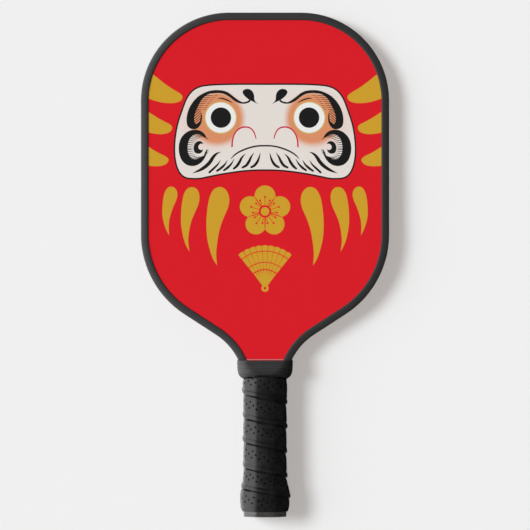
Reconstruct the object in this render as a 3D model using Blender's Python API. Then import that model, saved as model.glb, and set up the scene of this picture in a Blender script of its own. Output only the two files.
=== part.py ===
"""A pickleball paddle: a honeycomb panel with printed faces, an edge guard and a wrapped handle.

The paddle lies on its back. +Y runs from the butt to the top of the head, +X is to the right and +Z
points out of the front face. Everything is modelled about the handle's axis, in millimetres from the
butt end, and hangs from the empty paddle_axis, which lifts that axis until the wrap over the butt cap
rests on the ground.
"""

import math

import bmesh
import bpy
from mathutils import Matrix, Vector

MM = 0.001
GAP = 0.3  # glue lines and running gaps between neighbouring pieces

# Head outline, seen from the front
LENGTH = 400.0
WIDTH = 197.0
TOP_FLAT = 57.0
CORNER_RADIUS = 70.0
SHOULDER_RADIUS = 75.5
SHOULDER_CENTRE_Y = 224.0
SHOULDER_SWEEP = 57.0  # degrees that the shoulder turns before the straight run to the throat
THROAT_RUN = 30.0
THROAT_RADIUS = 50.0
CORNER_STEPS, SHOULDER_STEPS, THROAT_STEPS = 12, 10, 7

# Panel, from the middle outwards
CORE_DEPTH = 10.6
SHEET_DEPTH = 0.5
FILM_DEPTH = 0.25
TANG_HALF_WIDTH = 14.6
HANDLE_START = 2.7
SHEET_Z = CORE_DEPTH / 2 + GAP + SHEET_DEPTH / 2
FILM_Z = SHEET_Z + SHEET_DEPTH / 2 + GAP + FILM_DEPTH / 2
PANEL_HALF_DEPTH = FILM_Z + FILM_DEPTH / 2

# Edge guard
GUARD_WALL = 1.6
GUARD_LIP = 6.2
GUARD_LIP_DEPTH = 1.05
GUARD_ROUND = 2.8
GUARD_END = 117.0
GUARD_HALF_DEPTH = PANEL_HALF_DEPTH + GAP + GUARD_LIP_DEPTH
PANEL_INSET = GUARD_WALL + GAP

# Handle: an eight-sided bar. Each layer is the same octagon, grown outwards with rounder corners.
OCTAGON_HALF_WIDTH, OCTAGON_HALF_DEPTH = 12.9, 10.8
FRONT_FLAT, SIDE_FLAT = 6.3, 5.6
PALLET_GROWTH = 2.0
PALLET_END = 115.9

# Butt cap
POCKET_GROWTH = PALLET_GROWTH + GAP
CAP_FLOOR = 2.4
CAP_RIM = ((0.0, 3.5), (0.6, 4.1), (3.9, 4.1), (3.9, 3.8))  # (distance from the end, growth)
CAP_FLARE = ((6.5, 4.1), (9.8, 4.45), (14.0, 4.8), (18.0, 4.7), (22.5, 3.65), (26.0, 3.1))

# Staples that hold the cap to the pallets, one on each face
STAPLE_WIRE = 0.35
STAPLE_WIDTH = 9.0
STAPLE_LEG = 6.0
STAPLE_Y = 14.0
STAPLE_CROWN_Z = OCTAGON_HALF_DEPTH + CAP_FLARE[2][1] - STAPLE_WIRE - 0.2

# Grip wrap: a cushioned strip wound round the handle from the butt upwards
WRAP_DEPTH = 1.6
WRAP_PITCH = 18.8
WRAP_RIDGE = 0.5
WRAP_RIDGE_SHIFT = -2.7  # slides the ridges along the handle
WRAP_START, WRAP_END = 4.2, 115.4
WRAP_TAPER_START, WRAP_TAPER_DEPTH = 107.5, 1.0
WRAP_RING_SPACING = 2.35
WRAP_FLARE = (  # (distance from the butt end, growth)
    (WRAP_START, 5.7),
    (6.7, 6.0),
    (9.8, 6.35),
    (14.0, 6.65),
    (18.0, 6.6),
    (22.5, 5.55),
    (26.0, 4.95),
    (31.0, 4.1),
)
WRAP_GROWTH = POCKET_GROWTH + WRAP_DEPTH
REST_HEIGHT = OCTAGON_HALF_DEPTH + WRAP_FLARE[3][1]

# Finishing tape over the wrap's upper end, and the rubber collar over both
TAPE_START, TAPE_END, TAPE_DEPTH = 110.6, 115.2, 0.25
TAPE_GROWTH = POCKET_GROWTH + WRAP_TAPER_DEPTH + GAP
COLLAR_START, COLLAR_END = 109.3, 124.1
COLLAR_STEP_Y = (116.2, GUARD_END - GAP)  # where its bore changes from the handle's shape to the panel's
COLLAR_BORE_GROWTH = TAPE_GROWTH + TAPE_DEPTH + GAP
COLLAR_THROAT_ROOM = 0.36  # between the guard's curved flanks and the collar's bore
COLLAR_PROFILE = (  # (distance from the butt end, half width, half depth)
    (109.3, 18.2, 15.9),
    (109.8, 19.3, 16.3),
    (111.4, 20.7, 16.8),
    (114.6, 21.7, 17.0),
    (119.5, 22.2, 16.6),
    (123.2, 22.2, 15.9),
    (124.1, 22.0, 15.2),
)
COLLAR_CORNER = 11.0


def clear_scene():
    """Removes every object, so that the script also runs from a file that already holds something."""
    for obj in list(bpy.data.objects):
        bpy.data.objects.remove(obj, do_unlink=True)


def make_collection(name):
    collection = bpy.data.collections.new(name)
    bpy.context.scene.collection.children.link(collection)
    return collection


def make_material(name, colour, roughness, metallic=0.0):
    material = bpy.data.materials.new(name)
    material.use_nodes = True
    shader = material.node_tree.nodes["Principled BSDF"]
    shader.inputs["Base Color"].default_value = (*colour, 1.0)
    shader.inputs["Roughness"].default_value = roughness
    shader.inputs["Metallic"].default_value = metallic
    return material


# Outlines


def arc(centre, radius, start, end, steps):
    """Points on a round stretch of an outline, angles in degrees from +X."""
    angles = [math.radians(start + (end - start) * i / steps) for i in range(steps + 1)]
    return [(centre[0] + radius * math.cos(a), centre[1] + radius * math.sin(a)) for a in angles]


def throat_centre():
    """Centre of the hollow arc that leads from the shoulder's straight run into the handle."""
    turn = math.radians(SHOULDER_SWEEP)
    shoulder = Vector((WIDTH / 2 - SHOULDER_RADIUS, SHOULDER_CENTRE_Y))
    run_start = shoulder + SHOULDER_RADIUS * Vector((math.cos(turn), -math.sin(turn)))
    run_end = run_start + THROAT_RUN * Vector((-math.sin(turn), -math.cos(turn)))
    return run_end + THROAT_RADIUS * Vector((math.cos(turn), -math.sin(turn)))


def right_outline(inset, lowest):
    """The head's right side, from its top down to the given height, moved inwards by inset."""
    corner = (TOP_FLAT / 2, LENGTH - CORNER_RADIUS)
    shoulder = (WIDTH / 2 - SHOULDER_RADIUS, SHOULDER_CENTRE_Y)
    throat = throat_centre()
    throat_radius = THROAT_RADIUS + inset
    throat_end = 180.0 - math.degrees(math.asin((lowest - throat.y) / throat_radius))
    points = arc(corner, CORNER_RADIUS - inset, 90.0, 0.0, CORNER_STEPS)
    points += arc(shoulder, SHOULDER_RADIUS - inset, 0.0, -SHOULDER_SWEEP, SHOULDER_STEPS)
    points += arc(throat, throat_radius, 180.0 - SHOULDER_SWEEP, throat_end, THROAT_STEPS)
    return points


def throat_half_width(y):
    """Half the guard's outer width at a height in the throat."""
    throat = throat_centre()
    return throat.x - math.sqrt(THROAT_RADIUS**2 - (y - throat.y) ** 2)


def mirrored(points):
    """The same points on the left side, in the opposite order."""
    return [(-x, y) for x, y in reversed(points)]


def panel_outline():
    """The closed outline shared by core, face sheets and films: the head and the tang inside the handle."""
    right = right_outline(PANEL_INSET, GUARD_END - GAP)
    right += [(TANG_HALF_WIDTH, GUARD_END - GAP), (TANG_HALF_WIDTH, HANDLE_START)]
    return right + mirrored(right)


def octagon_ring(y, growth, corner_steps=2):
    """A ring round the handle's axis: the octagon grown outwards, which rounds its corners."""
    return rounded_ring(
        y,
        OCTAGON_HALF_WIDTH + growth,
        OCTAGON_HALF_DEPTH + growth,
        growth,
        (FRONT_FLAT, SIDE_FLAT),
        corner_steps,
    )


def rounded_ring(y, half_width, half_depth, radius, flats, corner_steps=2):
    """A ring at height y: flats on all four sides, joined by straight chamfers with rounded corners."""
    front_corner = Vector((flats[0], half_depth - radius))
    side_corner = Vector((half_width - radius, flats[1]))
    chamfer = side_corner - front_corner
    slant = math.degrees(math.atan2(chamfer.x, -chamfer.y)) if chamfer.length > 1e-6 else 45.0
    quarter = arc(side_corner, radius, 0.0, slant, corner_steps)
    quarter += arc(front_corner, radius, slant, 90.0, corner_steps)
    half = quarter + mirrored(quarter)
    ring = half + [(-x, -z) for x, z in half]
    return [Vector((x, y, z)) for x, z in ring]


def box_ring(y, half_width, half_depth, radius):
    """A ring shaped as a rectangle with round corners."""
    flats = (half_width - radius, half_depth - radius)
    return rounded_ring(y, half_width, half_depth, radius, flats)


# Objects


def add_object(name, data, material, collection, parent):
    obj = bpy.data.objects.new(name, data)
    data.materials.append(material)
    collection.objects.link(obj)
    obj.parent = parent
    return obj


def flat_shape(name, outline, depth):
    """A flat outline as a 2D curve, extruded half its depth each way."""
    curve = bpy.data.curves.new(name, "CURVE")
    curve.dimensions = "2D"
    curve.fill_mode = "BOTH"
    curve.extrude = depth / 2 * MM
    spline = curve.splines.new("POLY")
    spline.points.add(len(outline) - 1)
    for point, (x, y) in zip(spline.points, outline):
        point.co = (x * MM, y * MM, 0.0, 1.0)
    spline.use_cyclic_u = True
    return curve


def loft(name, rings, tube=False):
    """A mesh through rings of equally many points: capped at both ends, or closed into a tube's wall."""
    mesh = bpy.data.meshes.new(name)
    bm = bmesh.new()
    loops = [[bm.verts.new(point * MM) for point in ring] for ring in rings]
    pairs = list(zip(loops, loops[1:]))
    if tube:
        pairs.append((loops[-1], loops[0]))
    for near, far in pairs:
        for i in range(len(near)):
            j = (i + 1) % len(near)
            bm.faces.new((near[i], near[j], far[j], far[i]))
    if not tube:
        bm.faces.new(reversed(loops[0]))
        bm.faces.new(loops[-1])
    bmesh.ops.recalc_face_normals(bm, faces=bm.faces)
    bm.to_mesh(mesh)
    bm.free()
    mesh.shade_smooth()
    mesh.set_sharp_from_angle(angle=math.radians(35))
    return mesh


def mesh_from_curve(obj):
    """Turns a curve object into a mesh object of the same name, with its caps welded on."""
    bpy.context.view_layer.update()
    graph = bpy.context.evaluated_depsgraph_get()
    mesh = bpy.data.meshes.new_from_object(obj.evaluated_get(graph))
    bm = bmesh.new()
    bm.from_mesh(mesh)
    bmesh.ops.remove_doubles(bm, verts=bm.verts, dist=0.00001)
    bmesh.ops.recalc_face_normals(bm, faces=bm.faces)
    bm.to_mesh(mesh)
    bm.free()
    name, matrix = obj.name, obj.matrix_local.copy()
    collection, parent = obj.users_collection[0], obj.parent
    bpy.data.objects.remove(obj, do_unlink=True)
    made = bpy.data.objects.new(name, mesh)
    collection.objects.link(made)
    made.parent = parent
    made.matrix_local = matrix
    return made


def box_cutter(name, size, centre, collection, parent):
    bpy.ops.mesh.primitive_cube_add(size=1.0)
    cutter = bpy.context.object
    cutter.name = name
    cutter.data.transform(Matrix.Diagonal((size[0] * MM, size[1] * MM, size[2] * MM, 1.0)))
    for owner in list(cutter.users_collection):
        owner.objects.unlink(cutter)
    collection.objects.link(cutter)
    cutter.parent = parent
    cutter.location = Vector(centre) * MM
    cutter.hide_render = True
    cutter.display_type = "WIRE"
    return cutter


def cut(obj, cutters):
    for cutter in cutters:
        modifier = obj.modifiers.new(f"cut_{cutter.name}", "BOOLEAN")
        modifier.operation = "DIFFERENCE"
        modifier.solver = "EXACT"
        modifier.object = cutter


# Panel


def build_panel(parts, axis, materials):
    """The core, a fibreglass sheet bonded to each side of it, and a printed film over each sheet."""
    outline = panel_outline()
    core = flat_shape("honeycomb_core", outline, CORE_DEPTH)
    add_object("honeycomb_core", core, materials["core"], parts, axis)
    for side, sign in (("front", 1), ("back", -1)):
        sheet = flat_shape(f"face_sheet_{side}", outline, SHEET_DEPTH)
        placed = add_object(f"face_sheet_{side}", sheet, materials["fibreglass"], parts, axis)
        placed.location.z = sign * SHEET_Z * MM
        film = flat_shape(f"print_film_{side}", outline, FILM_DEPTH)
        placed = add_object(f"print_film_{side}", film, materials["print"], parts, axis)
        placed.location.z = sign * FILM_Z * MM


def guard_profile(parts):
    """The edge guard's U section: x runs inwards from the outline, y through the panel's thickness."""
    inner, top = PANEL_HALF_DEPTH + GAP, GUARD_HALF_DEPTH
    upper = arc((GUARD_ROUND, top - GUARD_ROUND), GUARD_ROUND, 180.0, 90.0, 3)
    upper += [(GUARD_LIP - 0.5, top), (GUARD_LIP, top - 0.5), (GUARD_LIP, inner), (GUARD_WALL, inner)]
    lower = [(x, -y) for x, y in reversed(upper)]
    profile = flat_shape("guard_profile", upper + lower, 0.0)
    profile.fill_mode = "NONE"
    guide = bpy.data.objects.new("guard_profile", profile)
    parts.objects.link(guide)
    guide.hide_render = True
    guide.display_type = "WIRE"
    return guide


def build_edge_guard(parts, helpers, axis, materials):
    """One strip swept round the head from one side of the throat to the other."""
    right = right_outline(0.0, GUARD_END)
    path = mirrored(right) + right
    curve = bpy.data.curves.new("edge_guard", "CURVE")
    curve.dimensions = "2D"
    curve.fill_mode = "NONE"
    curve.bevel_mode = "OBJECT"
    curve.bevel_object = guard_profile(helpers)
    curve.use_fill_caps = True
    spline = curve.splines.new("POLY")
    spline.points.add(len(path) - 1)
    for point, (x, y) in zip(spline.points, path):
        point.co = (x * MM, y * MM, 0.0, 1.0)
    add_object("edge_guard", curve, materials["guard"], parts, axis)


# Handle


def pallet_outline():
    """Half of the handle's octagon, from the panel's face outwards, in the plane across the handle."""
    base = PANEL_HALF_DEPTH + GAP
    side = (OCTAGON_HALF_WIDTH, SIDE_FLAT)
    start = math.degrees(math.asin((base - side[1]) / PALLET_GROWTH))
    slant = math.degrees(
        math.atan2(OCTAGON_HALF_WIDTH - FRONT_FLAT, OCTAGON_HALF_DEPTH - SIDE_FLAT)
    )
    right = arc(side, PALLET_GROWTH, start, slant, 2)
    right += arc((FRONT_FLAT, OCTAGON_HALF_DEPTH), PALLET_GROWTH, slant, 90.0, 3)
    return right + mirrored(right)


def build_pallets(parts, axis, materials, leg_cutters):
    """The two foam halves that round the flat tang out to a handle."""
    length = PALLET_END - HANDLE_START
    for side, turn in (("front", 0.0), ("back", math.pi)):
        curve = flat_shape(f"handle_pallet_{side}", pallet_outline(), length)
        shaped = add_object(f"handle_pallet_{side}", curve, materials["foam"], parts, axis)
        shaped.rotation_euler = (math.pi / 2, turn, 0.0)
        shaped.location.y = (HANDLE_START + length / 2) * MM
        cut(mesh_from_curve(shaped), leg_cutters[side])


def build_butt_cap(parts, axis, materials, cutters):
    """A moulded cup over the handle's end, flared so that the wrap swells over it."""
    outside = [octagon_ring(y, growth) for y, growth in CAP_RIM + CAP_FLARE]
    mouth = CAP_FLARE[-1][0]
    inside = [octagon_ring(mouth, POCKET_GROWTH), octagon_ring(CAP_FLOOR, POCKET_GROWTH)]
    cap = add_object("butt_cap", loft("butt_cap", outside + inside), materials["cap"], parts, axis)
    cut(cap, cutters)


def staple_wire(side, parts, axis, materials):
    """A wire staple: its crown lies in the cap's outer face and its legs point into the handle."""
    curve = bpy.data.curves.new(f"cap_staple_{side}", "CURVE")
    curve.dimensions = "3D"
    curve.bevel_depth = STAPLE_WIRE * MM
    curve.bevel_resolution = 1
    curve.use_fill_caps = True
    half, bend = STAPLE_WIDTH / 2, 2 * STAPLE_WIRE
    path = [(-half, -STAPLE_LEG), (-half, -bend), (-half + bend, 0.0)]
    path += mirrored(path)
    spline = curve.splines.new("POLY")
    spline.points.add(len(path) - 1)
    for point, (x, z) in zip(spline.points, path):
        point.co = (x * MM, 0.0, z * MM, 1.0)
    return add_object(f"cap_staple_{side}", curve, materials["steel"], parts, axis)


def build_staples(parts, helpers, axis, materials):
    """Both staples, and the cutters that clear them: {side: leg cutters} and a list of crown grooves."""
    leg_cutters, groove_cutters = {}, []
    room = 2 * (STAPLE_WIRE + GAP)
    for side, sign in (("front", 1), ("back", -1)):
        staple = staple_wire(side, parts, axis, materials)
        staple.rotation_euler.y = 0.0 if sign > 0 else math.pi
        staple.location = Vector((0.0, STAPLE_Y, sign * STAPLE_CROWN_Z)) * MM
        leg_cutters[side] = [
            box_cutter(
                f"staple_hole_{side}_{end}",
                (room, room, STAPLE_LEG + 4 * GAP),
                (x, STAPLE_Y, sign * (STAPLE_CROWN_Z - STAPLE_LEG / 2 + GAP)),
                helpers,
                axis,
            )
            for end, x in (("left", -STAPLE_WIDTH / 2), ("right", STAPLE_WIDTH / 2))
        ]
        groove_cutters.append(
            box_cutter(
                f"staple_groove_{side}",
                (STAPLE_WIDTH, room, 2 * room),
                (0.0, STAPLE_Y, sign * (STAPLE_CROWN_Z - room / 2 + room)),
                helpers,
                axis,
            )
        )
    return leg_cutters, groove_cutters


# Wrap, tape and collar


def between(table, y):
    """The value at y in a table of (y, value) rows, straight between them."""
    for (y0, v0), (y1, v1) in zip(table, table[1:]):
        if y <= y1:
            return v0 + (v1 - v0) * max(0.0, y - y0) / (y1 - y0)
    return table[-1][1]


def wrap_growth(y):
    """How far the wrap's outer face stands off the handle's octagon, without its ridges."""
    growth = between(WRAP_FLARE, y)
    if y > WRAP_FLARE[-1][0]:
        growth = WRAP_GROWTH
    if y > WRAP_TAPER_START:
        share = min(1.0, (y - WRAP_TAPER_START) / (TAPE_START - WRAP_TAPER_START))
        growth -= share * (WRAP_DEPTH - WRAP_TAPER_DEPTH)
    return growth


def wrap_ridge(y, turn):
    """Height of the winding's ridge at y, where turn is the share of a turn gone round the handle."""
    if y < WRAP_FLARE[-1][0] or y > WRAP_TAPER_START:
        return 0.0
    phase = 2 * math.pi * ((y - WRAP_RIDGE_SHIFT) / WRAP_PITCH - turn)
    return WRAP_RIDGE * (0.5 + 0.5 * math.cos(phase))


def build_wrap(parts, axis, materials):
    """The wound strip as one sleeve: a plain bore over cap and pallets, and a ridged outside."""
    inside = [octagon_ring(WRAP_START, CAP_RIM[-1][1] + GAP)]
    inside += [octagon_ring(y, growth + GAP) for y, growth in CAP_FLARE]
    clear_of_cap = CAP_FLARE[-1][0] + GAP
    inside.append(octagon_ring(clear_of_cap, CAP_FLARE[-1][1] + GAP))
    inside += [octagon_ring(y, POCKET_GROWTH) for y in (clear_of_cap + GAP, WRAP_END)]
    heights = [y for y, _ in WRAP_FLARE]
    steps = round((WRAP_TAPER_START - heights[-1]) / WRAP_RING_SPACING)
    heights += [heights[-1] + (WRAP_TAPER_START - heights[-1]) * i / steps for i in range(1, steps + 1)]
    heights += [TAPE_START, WRAP_END]
    outside = []
    for y in reversed(heights):
        ring = []
        plain = octagon_ring(y, wrap_growth(y))
        raised = octagon_ring(y, wrap_growth(y) + WRAP_RIDGE)
        for i, (low, high) in enumerate(zip(plain, raised)):
            share = wrap_ridge(y, i / len(plain)) / WRAP_RIDGE
            ring.append(low.lerp(high, share))
        outside.append(ring)
    sleeve = loft("grip_wrap", inside + outside, tube=True)
    add_object("grip_wrap", sleeve, materials["wrap"], parts, axis)


def build_tape(parts, axis, materials):
    """The band of tape round the wrap's upper end."""
    inner, outer = TAPE_GROWTH, TAPE_GROWTH + TAPE_DEPTH
    rings = [octagon_ring(TAPE_START, inner), octagon_ring(TAPE_END, inner)]
    rings += [octagon_ring(TAPE_END, outer), octagon_ring(TAPE_START, outer)]
    add_object("finishing_tape", loft("finishing_tape", rings, tube=True), materials["tape"], parts, axis)


def build_collar(parts, axis, materials):
    """The rubber collar: the taped wrap fits its lower bore, and panel and guard its upper one."""
    step_start, step_end = COLLAR_STEP_Y
    inside = [octagon_ring(y, COLLAR_BORE_GROWTH) for y in (COLLAR_START, step_start)]
    for y in (step_end, (step_end + COLLAR_END) / 2, COLLAR_END):
        half_width = throat_half_width(y) + COLLAR_THROAT_ROOM
        inside.append(box_ring(y, half_width, GUARD_HALF_DEPTH + GAP, GUARD_ROUND))
    outside = [box_ring(y, width, depth, COLLAR_CORNER) for y, width, depth in reversed(COLLAR_PROFILE)]
    collar = loft("grip_collar", inside + outside, tube=True)
    add_object("grip_collar", collar, materials["collar"], parts, axis)


def build_paddle():
    clear_scene()
    parts = make_collection("pickleball_paddle")
    helpers = make_collection("cutters")
    materials = {
        "core": make_material("core", (0.62, 0.62, 0.58), 0.6),
        "fibreglass": make_material("fibreglass", (0.16, 0.17, 0.16), 0.35),
        "print": make_material("print", (0.66, 0.015, 0.023), 0.35),
        "guard": make_material("guard", (0.03, 0.03, 0.03), 0.45),
        "foam": make_material("foam", (0.05, 0.05, 0.055), 0.85),
        "cap": make_material("cap", (0.045, 0.043, 0.042), 0.35),
        "steel": make_material("steel", (0.55, 0.55, 0.56), 0.3, metallic=1.0),
        "wrap": make_material("wrap", (0.022, 0.022, 0.022), 0.7),
        "tape": make_material("tape", (0.02, 0.02, 0.02), 0.4),
        "collar": make_material("collar", (0.03, 0.03, 0.03), 0.6),
    }
    axis = bpy.data.objects.new("paddle_axis", None)
    axis.location = Vector((0.0, -LENGTH / 2, REST_HEIGHT)) * MM
    parts.objects.link(axis)

    build_panel(parts, axis, materials)
    build_edge_guard(parts, helpers, axis, materials)
    leg_cutters, groove_cutters = build_staples(parts, helpers, axis, materials)
    build_pallets(parts, axis, materials, leg_cutters)
    cap_cutters = groove_cutters + leg_cutters["front"] + leg_cutters["back"]
    build_butt_cap(parts, axis, materials, cap_cutters)
    build_wrap(parts, axis, materials)
    build_tape(parts, axis, materials)
    build_collar(parts, axis, materials)


build_paddle()
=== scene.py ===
"""Looks of the pickleball paddle: its print, edge guard, wrapped handle, collar, cap and core, with floor and light.

Lengths below are in millimetres. Across and up are seen from the front: x to the right of the paddle's axis,
y from the butt end towards the top of the head, and z out of the front face from the panel's middle plane.
"""

import math

import bmesh
import bpy
import numpy as np
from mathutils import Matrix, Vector, noise
from mathutils.geometry import delaunay_2d_cdt


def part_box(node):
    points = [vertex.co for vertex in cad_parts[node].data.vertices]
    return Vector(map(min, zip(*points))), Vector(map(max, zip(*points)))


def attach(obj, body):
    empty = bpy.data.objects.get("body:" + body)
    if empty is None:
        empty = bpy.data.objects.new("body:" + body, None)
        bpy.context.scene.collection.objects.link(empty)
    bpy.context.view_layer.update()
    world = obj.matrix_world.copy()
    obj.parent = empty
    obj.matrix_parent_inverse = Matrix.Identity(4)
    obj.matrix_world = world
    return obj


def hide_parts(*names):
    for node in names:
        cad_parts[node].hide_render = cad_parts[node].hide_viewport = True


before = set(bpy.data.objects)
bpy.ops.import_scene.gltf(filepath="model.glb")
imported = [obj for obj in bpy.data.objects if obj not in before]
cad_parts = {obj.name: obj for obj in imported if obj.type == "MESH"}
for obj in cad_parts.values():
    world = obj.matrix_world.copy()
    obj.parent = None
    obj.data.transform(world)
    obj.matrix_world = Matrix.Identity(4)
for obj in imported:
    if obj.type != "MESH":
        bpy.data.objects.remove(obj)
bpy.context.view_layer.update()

MM = 0.001
BUTT_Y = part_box("butt_cap")[0][1]
GUARD_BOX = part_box("edge_guard")
MIDDLE_Z = (GUARD_BOX[0][2] + GUARD_BOX[1][2]) / 2
GUARD_HALF_DEPTH = (GUARD_BOX[1][2] - GUARD_BOX[0][2]) / 2 / MM
HALF_WIDTH = (GUARD_BOX[1][0] - GUARD_BOX[0][0]) / 2 / MM
LENGTH = (GUARD_BOX[1][1] - BUTT_Y) / MM
FILM_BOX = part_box("print_film_front")
FILM_TOP = (FILM_BOX[1][2] - MIDDLE_Z) / MM
FILM_DEPTH = (FILM_BOX[1][2] - FILM_BOX[0][2]) / MM
CORE_HALF_DEPTH = (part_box("honeycomb_core")[1][2] - MIDDLE_Z) / MM


def place(x, y, z):
    """A point of the paddle, in metres in the row frame."""
    return Vector((x * MM, BUTT_Y + y * MM, MIDDLE_Z + z * MM))


# ---------------------------------------------------------------- materials


def new_material(name, colour, roughness, specular=0.5, metallic=0.0):
    """A Principled material, with its node tree and its shader."""
    material = bpy.data.materials.new(name)
    material.use_nodes = True
    tree = material.node_tree
    shader = tree.nodes["Principled BSDF"]
    shader.inputs["Base Color"].default_value = (*colour, 1.0)
    shader.inputs["Roughness"].default_value = roughness
    shader.inputs["Specular IOR Level"].default_value = specular
    shader.inputs["Metallic"].default_value = metallic
    return material, tree, shader


def add_node(tree, kind, links=None, **settings):
    """Adds a node. Settings name its attributes or its inputs, and links feeds inputs from other sockets."""
    node = tree.nodes.new(kind)
    for key, value in settings.items():
        if key in node.inputs:
            node.inputs[key].default_value = value
        else:
            setattr(node, key, value)
    for key, source in (links or {}).items():
        tree.links.new(source, node.inputs[key])
    return node


def object_position(tree):
    return add_node(tree, "ShaderNodeTexCoord").outputs["Object"]


def ramp_value(tree, source, low, high, out_low, out_high):
    """Carries a value from the range low to high over to out_low to out_high."""
    node = add_node(tree, "ShaderNodeMapRange", {"Value": source})
    for key, value in (("From Min", low), ("From Max", high), ("To Min", out_low), ("To Max", out_high)):
        node.inputs[key].default_value = value
    return node.outputs["Result"]


def add_bump(tree, shader, layers):
    """Stacks bump layers (height socket, strength, distance in millimetres) on the shader's normal."""
    normal = None
    for height, strength, distance in layers:
        links = {"Height": height}
        if normal is not None:
            links["Normal"] = normal
        bump = add_node(tree, "ShaderNodeBump", links)
        bump.inputs["Strength"].default_value = strength
        bump.inputs["Distance"].default_value = distance * MM
        normal = bump.outputs["Normal"]
    tree.links.new(normal, shader.inputs["Normal"])


def noise_height(tree, position, size, detail=2.0, stretch=None):
    """Noise with features of about the given size in millimetres."""
    source = position
    if stretch is not None:
        mapping = add_node(tree, "ShaderNodeMapping", {"Vector": position})
        mapping.inputs["Scale"].default_value = stretch
        source = mapping.outputs["Vector"]
    texture = add_node(tree, "ShaderNodeTexNoise", {"Vector": source})
    texture.inputs["Scale"].default_value = 1.0 / (size * MM)
    texture.inputs["Detail"].default_value = detail
    return texture.outputs["Fac"]


def cell_height(tree, position, size, feature="F1"):
    texture = add_node(tree, "ShaderNodeTexVoronoi", {"Vector": position}, feature=feature)
    texture.inputs["Scale"].default_value = 1.0 / (size * MM)
    return texture.outputs["Distance"]


def mixed_colour(tree, factor, first, second):
    mix = add_node(tree, "ShaderNodeMix", data_type="RGBA")
    tree.links.new(factor, mix.inputs[0])
    for socket, value in ((mix.inputs[6], first), (mix.inputs[7], second)):
        if isinstance(value, tuple):
            socket.default_value = (*value, 1.0)
        else:
            tree.links.new(value, socket)
    return mix.outputs[2]


def print_material(name, colour, specular=0.22):
    """Ink under a satin, finely gritted film."""
    material, tree, shader = new_material(name, colour, 0.5, specular)
    position = object_position(tree)
    grit = noise_height(tree, position, 0.55, 3.0)
    cloud = noise_height(tree, position, 38.0, 2.0)
    tree.links.new(ramp_value(tree, cloud, 0.3, 0.7, 0.46, 0.58), shader.inputs["Roughness"])
    add_bump(tree, shader, [(grit, 0.22, 0.05)])
    return material


EYE = (35.15, 316.6)


def face_material():
    """The off-white of the face, with an orange flush that fades out round each eye."""
    material = print_material("face_white", (0.745, 0.69, 0.645))
    tree = material.node_tree
    shader = tree.nodes["Principled BSDF"]
    split = add_node(tree, "ShaderNodeSeparateXYZ", {"Vector": object_position(tree)})
    across = add_node(tree, "ShaderNodeMath", {0: split.outputs["X"]}, operation="ABSOLUTE").outputs[0]

    def flush(centre, radii, inner, outer):
        """1 inside the ellipse's inner share and 0 beyond its outer one."""
        squares = []
        for source, middle, radius in zip((across, split.outputs["Y"]), centre, radii):
            shifted = add_node(tree, "ShaderNodeMath", {0: source}, operation="SUBTRACT")
            shifted.inputs[1].default_value = middle
            scaled = add_node(tree, "ShaderNodeMath", {0: shifted.outputs[0]}, operation="DIVIDE")
            scaled.inputs[1].default_value = radius
            square = add_node(tree, "ShaderNodeMath", {0: scaled.outputs[0]}, operation="POWER")
            square.inputs[1].default_value = 2.0
            squares.append(square.outputs[0])
        total = add_node(tree, "ShaderNodeMath", {0: squares[0], 1: squares[1]}, operation="ADD")
        reach = add_node(tree, "ShaderNodeMath", {0: total.outputs[0]}, operation="SQRT").outputs[0]
        node = add_node(tree, "ShaderNodeMapRange", {"Value": reach}, interpolation_type="SMOOTHSTEP")
        for key, value in (("From Min", inner), ("From Max", outer), ("To Min", 1.0), ("To Max", 0.0)):
            node.inputs[key].default_value = value
        return node.outputs["Result"]

    def centre(x, y):
        point = place(x, y, 0.0)
        return point.x, point.y

    strong = flush(centre(38.0, 316.0), (21.1 * MM, 21.0 * MM), 0.84, 1.15)
    faint = flush(centre(44.0, 313.0), (30.0 * MM, 28.0 * MM), 0.5, 1.0)
    pale = mixed_colour(tree, ramp_value(tree, faint, 0.0, 1.0, 0.0, 0.4), (0.745, 0.69, 0.645), (0.78, 0.5, 0.43))
    colour = mixed_colour(tree, strong, pale, (0.67, 0.265, 0.13))
    tree.links.new(colour, shader.inputs["Base Color"])
    return material


PRINT = {
    "red": print_material("print_red", (0.65, 0.0118, 0.0198)),
    "gold": print_material("print_gold", (0.58, 0.325, 0.026)),
    "black": print_material("print_black", (0.007, 0.007, 0.0073), 0.2),
    "face": face_material(),
    "plain": print_material("print_off_white", (0.745, 0.69, 0.645)),
    "white": print_material("print_eye_white", (0.80, 0.80, 0.78)),
    "rim": print_material("print_eye_rim", (0.62, 0.43, 0.12)),
    "crimson": print_material("print_crimson", (0.55, 0.012, 0.05)),
    "margin": print_material("print_margin", (0.55, 0.20, 0.20)),
}
PRINT_ORDER = list(PRINT)


def guard_material():
    """Extruded vinyl: satin, with faint streaks, fine dust and a few scuffs."""
    material, tree, shader = new_material("guard_vinyl", (0.034, 0.034, 0.0345), 0.45, 0.22)
    position = object_position(tree)
    cloud = noise_height(tree, position, 9.0, 4.0)
    fine = noise_height(tree, position, 0.35, 2.0)
    scuff = noise_height(tree, position, 1.6, 5.0, (1.0, 1.0, 5.0))
    colour = mixed_colour(tree, ramp_value(tree, scuff, 0.62, 0.74, 0.0, 0.6), (0.0335, 0.0335, 0.034), (0.052, 0.052, 0.052))
    tree.links.new(colour, shader.inputs["Base Color"])
    tree.links.new(ramp_value(tree, cloud, 0.3, 0.7, 0.36, 0.5), shader.inputs["Roughness"])
    add_bump(tree, shader, [(cloud, 0.12, 0.12), (fine, 0.25, 0.03)])
    return material


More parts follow.
